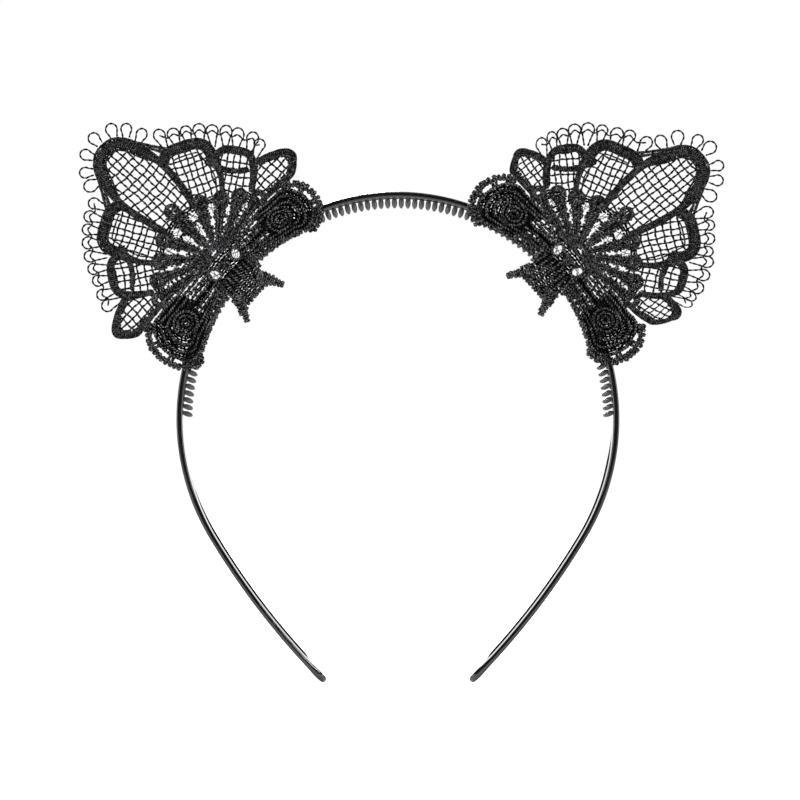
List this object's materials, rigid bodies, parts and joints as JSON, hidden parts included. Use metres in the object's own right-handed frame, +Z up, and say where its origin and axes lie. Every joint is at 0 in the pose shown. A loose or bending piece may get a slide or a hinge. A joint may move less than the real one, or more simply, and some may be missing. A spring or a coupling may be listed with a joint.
{
  "type": "animal ears headband",
  "caption": "Slim springy hair band with comb teeth inside and two pointed lace animal ears sewn to its front edge, worn over the crown of the head.",
  "frame": {"origin": "centre of the crown arc, in the middle of the space for the head, level with the band's middle front to back", "axes": "+Z up through the crown of the band, +X across the ears to the right as seen from the front, front of the ears faces -Y"},
  "size_m": [0.183, 0.0087, 0.1602],
  "materials": {
    "band_plastic": "glossy moulded black plastic",
    "comb_plastic": "glossy moulded black plastic",
    "padded_lace": "black padded satin-stitch embroidery thread with a soft sheen",
    "net_thread": "black twisted polyester thread",
    "sewing_thread": "black polyester sewing thread"
  },
  "bodies": {
    "crown": {"crown_band": "band_plastic", "crown_comb": "comb_plastic"},
    "left_side": {"left_band": "band_plastic", "left_comb": "comb_plastic", "left_stitching": "sewing_thread", "left_scroll_inner": "padded_lace", "left_scroll_outer": "padded_lace", "left_knot": "padded_lace"},
    "left_ear": {"left_centre_rim": "padded_lace", "left_upper_rims": "padded_lace", "left_middle_rims": "padded_lace", "left_leaf_rims": "padded_lace", "left_net": "net_thread", "left_fan": "padded_lace", "left_picots": "net_thread"},
    "right_side": {"right_band": "band_plastic", "right_comb": "comb_plastic", "right_stitching": "sewing_thread", "right_scroll_inner": "padded_lace", "right_scroll_outer": "padded_lace", "right_knot": "padded_lace"},
    "right_ear": {"right_centre_rim": "padded_lace", "right_upper_rims": "padded_lace", "right_middle_rims": "padded_lace", "right_leaf_rims": "padded_lace", "right_net": "net_thread", "right_fan": "padded_lace", "right_picots": "net_thread"}
  },
  "joints": [
    {"name": "left_side_flex", "type": "hinge", "parent": "crown", "child": "left_side", "pos_m": [-0.01605, 0, 0.05989], "axis": [0, 1, 0], "range_deg": [0, 15], "stiffness_Nm_per_rad": 0.6},
    {"name": "right_side_flex", "type": "hinge", "parent": "crown", "child": "right_side", "pos_m": [0.01605, 0, 0.05989], "axis": [0, -1, 0], "range_deg": [0, 15], "stiffness_Nm_per_rad": 0.6},
    {"name": "left_ear_bend", "type": "hinge", "parent": "left_side", "child": "left_ear", "pos_m": [-0.05212, -0.00395, 0.04426], "axis": [0.6947, 0, 0.7193], "range_deg": [-25, 25], "stiffness_Nm_per_rad": 0.02},
    {"name": "right_ear_bend", "type": "hinge", "parent": "right_side", "child": "right_ear", "pos_m": [0.05246, -0.00395, 0.04389], "axis": [0.6561, 0, -0.7547], "range_deg": [-25, 25], "stiffness_Nm_per_rad": 0.02}
  ]
}
